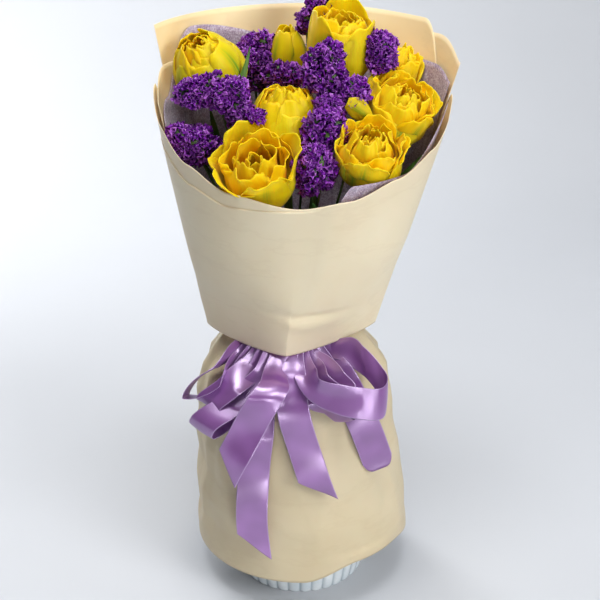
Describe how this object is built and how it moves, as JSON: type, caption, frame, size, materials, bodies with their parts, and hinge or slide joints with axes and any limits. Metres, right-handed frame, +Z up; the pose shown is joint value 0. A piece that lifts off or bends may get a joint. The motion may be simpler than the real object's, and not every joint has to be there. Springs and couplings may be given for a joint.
{
  "type": "bunch of tulips",
  "caption": "Wrapped bunch of double yellow tulips with purple statice, tied with a satin bow and standing in a fluted vase under its paper.",
  "frame": {"origin": "centre of the vase's flat foot, on its underside", "axes": "+Z up from the foot to the blooms, -Y towards the front with the bow, +X to the right seen from the front"},
  "size_m": [0.2242, 0.1869, 0.482],
  "materials": {
    "glaze": "glazed white ceramic with fine vertical flutes",
    "paper": "cream wrapping sheet, matte, slightly translucent at its edges",
    "lining": "lilac grey non-woven tissue",
    "satin": "lilac satin ribbon with a stitched edge",
    "petal": "waxy yellow petal with a green stripe near its base",
    "petal_inner": "warm yellow ruffled petal",
    "stem": "smooth green stem",
    "leaf": "matte green leaf",
    "statice": "papery violet florets on a green stem",
    "twine": "rough plant-fibre twine"
  },
  "bodies": {
    "root": {"tulip_1_outer_petals": "petal", "tulip_1_inner_petals": "petal_inner", "tulip_1_stem": "stem", "tulip_2_outer_petals": "petal", "tulip_2_inner_petals": "petal_inner", "tulip_2_stem": "stem", "tulip_3_outer_petals": "petal", "tulip_3_inner_petals": "petal_inner", "tulip_3_stem": "stem", "tulip_4_outer_petals": "petal", "tulip_4_inner_petals": "petal_inner", "tulip_4_stem": "stem", "tulip_5_outer_petals": "petal", "tulip_5_inner_petals": "petal_inner", "tulip_5_stem": "stem", "tulip_6_outer_petals": "petal", "tulip_6_inner_petals": "petal_inner", "tulip_6_stem": "stem", "tulip_7_outer_petals": "petal", "tulip_7_inner_petals": "petal_inner", "tulip_7_stem": "stem", "tulip_8_outer_petals": "petal", "tulip_8_inner_petals": "petal_inner", "tulip_8_stem": "stem", "tulip_leaf_1": "leaf", "tulip_leaf_2": "leaf", "tulip_leaf_3": "leaf", "tulip_leaf_4": "leaf", "tulip_leaf_5": "leaf", "tulip_4_loose_petal": "petal", "statice_1": "statice", "statice_2": "statice", "statice_3": "statice", "statice_4": "statice", "statice_5": "statice", "statice_6": "statice", "statice_7": "statice", "statice_8": "statice", "statice_9": "statice", "vase": "glaze", "front_collar": "paper", "right_wrap": "paper", "back_wrap": "paper", "left_wrap": "paper", "lining": "lining", "skirt": "paper", "stem_tie": "twine", "waist_ribbon": "satin", "bow_knot": "satin", "bow_loop_left_1": "satin", "bow_loop_left_2": "satin", "bow_loop_left_3": "satin", "bow_tail_1": "satin", "bow_tail_2": "satin", "bow_tail_3": "satin", "bow_tail_4": "satin", "bow_loop_right_1": "satin", "bow_loop_right_2": "satin", "bow_loop_right_3": "satin"}
  },
  "joints": []
}
